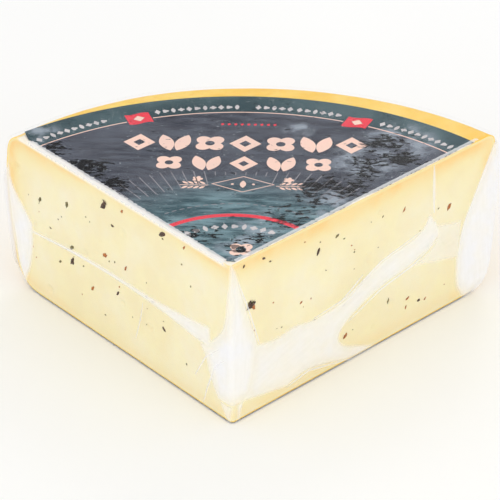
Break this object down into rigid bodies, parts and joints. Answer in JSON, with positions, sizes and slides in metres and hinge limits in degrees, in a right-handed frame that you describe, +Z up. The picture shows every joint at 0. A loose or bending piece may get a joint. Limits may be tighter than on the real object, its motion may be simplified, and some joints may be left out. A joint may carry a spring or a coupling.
{
  "type": "packed cheese wedge",
  "caption": "Wedge cut from a round semi-hard cheese wheel, with rind, flecked ivory paste and a dark paper top label, sealed in clear close-fitting film.",
  "frame": {"origin": "middle of the pack's footprint, on its underside, at the surface that it lies on", "axes": "+Z up through the labelled top; +Y towards the rind, so the tip points to -Y; +X across the wedge, to the right seen from the tip"},
  "size_m": [0.2136, 0.1572, 0.0768],
  "materials": {
    "cheese": "moist, matte ivory paste with dark flecks, deepening to amber by the dry rind",
    "label_paper": "charcoal printed paper with cream and red ornaments, damp behind the film",
    "clear_film": "clear, glossy film with milky folds where it lies in several layers"
  },
  "bodies": {
    "root": {"cheese": "cheese", "label": "label_paper", "film_bag": "clear_film"}
  },
  "joints": []
}
